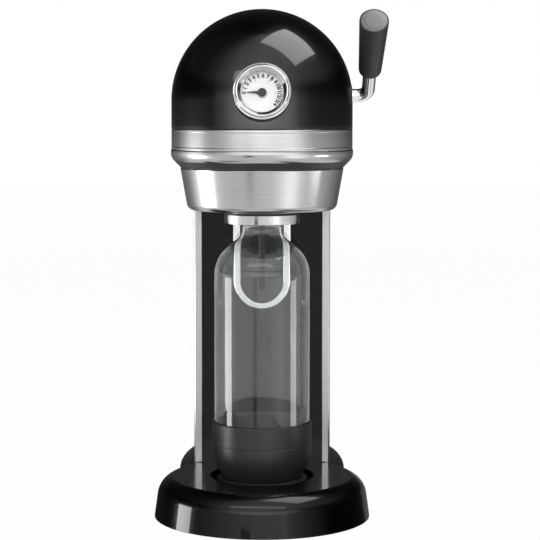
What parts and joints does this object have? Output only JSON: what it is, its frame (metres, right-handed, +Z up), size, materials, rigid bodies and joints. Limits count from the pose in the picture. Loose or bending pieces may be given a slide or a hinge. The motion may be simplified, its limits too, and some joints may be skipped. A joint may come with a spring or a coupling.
{
  "type": "sparkling water maker",
  "caption": "Worktop sparkling water maker: domed head on a tower with a pressure gauge and a pull lever, a hinged collar that holds a clear bottle, a gas cylinder behind.",
  "frame": {"origin": "on the worktop, under the bottle's axis, at the underside of the centre foot", "axes": "+Z up, front with the gauge towards -Y, lever towards +X"},
  "size_m": [0.2032, 0.2731, 0.4565],
  "materials": {
    "gloss_black": "high gloss",
    "satin_dark": "satin",
    "boot_grey": "satin",
    "grip_grey": "satin",
    "black_rubber": "matt",
    "brushed": "brushed",
    "rail_alu": "brushed",
    "chrome": "polished",
    "steel": "plain",
    "chassis_grey": "satin",
    "brass": "plain",
    "clear": "clear",
    "dial_white": "satin",
    "needle_grey": "satin",
    "cylinder_grey": "satin"
  },
  "bodies": {
    "stand": {"base_shell": "gloss_black", "base_plate": "satin_dark", "rubber_feet": "black_rubber", "base_screws": "steel", "bottle_mat": "black_rubber", "tower_screws": "steel", "front_panel": "gloss_black", "side_rail_left": "rail_alu", "side_rail_right": "rail_alu", "tower_frame": "chassis_grey", "cylinder_rest": "satin_dark", "cone_skirt": "brushed", "under_plate": "satin_dark", "head_ring": "brushed", "trim_band": "brushed", "trim_strip": "brushed", "dome_cover": "gloss_black", "chassis": "chassis_grey", "chassis_screws": "steel", "gauge_bezel": "chrome", "gauge_lens": "clear", "gauge_dial": "dial_white", "gauge_body": "chassis_grey", "gauge_pipe": "brass", "lever_bushes": "brass", "lever_grommet": "black_rubber", "lever_spring": "steel", "rocker_pin": "steel", "valve_block": "cylinder_grey", "valve_seal": "black_rubber", "plunger_spring": "steel", "gas_hose": "black_rubber", "collar_pin": "steel"},
    "needle": {"gauge_needle": "needle_grey"},
    "lever": {"lever_arm": "chrome", "lever_grip": "grip_grey", "lever_cam": "steel"},
    "rocker": {"rocker": "steel"},
    "plunger": {"plunger": "steel"},
    "gas_cylinder": {"gas_cylinder": "cylinder_grey", "cylinder_valve": "brass"},
    "collar": {"collar": "satin_dark", "collar_trim": "brushed", "bottle_bracket": "chrome", "bracket_panel": "satin_dark", "nozzle_head": "satin_dark", "bottle_seal": "black_rubber", "carbonation_tube": "satin_dark", "relief_valve": "brass"},
    "bottle": {"bottle": "clear", "bottle_boot": "boot_grey"},
    "rear_cover": {"rear_cover": "satin_dark"}
  },
  "joints": [
    {"name": "lever_pull", "type": "hinge", "parent": "stand", "child": "lever", "pos_m": [0, -0.018, 0.3795], "axis": [1, 0, 0], "range_deg": [0, 50], "stiffness_Nm_per_rad": 0.8, "springref_deg": -22.92},
    {"name": "rocker_tilt", "type": "hinge", "parent": "stand", "child": "rocker", "pos_m": [0, 0.04, 0.4055], "axis": [-1, 0, 0], "range_deg": [0, 4]},
    {"name": "plunger_press", "type": "slide", "parent": "stand", "child": "plunger", "axis": [0, 0, -1], "range_m": [0, 0.0047], "deforming": ["plunger_spring"]},
    {"name": "needle_turn", "type": "hinge", "parent": "stand", "child": "needle", "pos_m": [0, -0.082, 0.3832], "axis": [0, 0.9659, -0.2588], "range_deg": [0, 210], "stiffness_Nm_per_rad": 0.0002, "springref_deg": -11.46},
    {"name": "collar_tilt", "type": "hinge", "parent": "stand", "child": "collar", "pos_m": [0, 0.04, 0.2905], "axis": [-1, 0, 0], "range_deg": [0, 15], "deforming": ["gas_hose"]},
    {"name": "bottle_turn", "type": "hinge", "parent": "collar", "child": "bottle", "pos_m": [0, 0, 0.15], "axis": [0, 0, 1], "range_deg": [0, 90]},
    {"name": "cover_slide", "type": "slide", "parent": "stand", "child": "rear_cover", "axis": [0, 1, 0], "range_m": [0, 0.12]},
    {"name": "cylinder_turn", "type": "hinge", "parent": "stand", "child": "gas_cylinder", "pos_m": [0, 0.098, 0.2], "axis": [0, 0, -1], "range_deg": [0, 720]}
  ],
  "couplings": [
    {"joint": "rocker_tilt", "follows": "lever_pull", "ratio": 0.0769},
    {"joint": "plunger_press", "follows": "lever_pull", "m_per_rad": 0.0052}
  ]
}
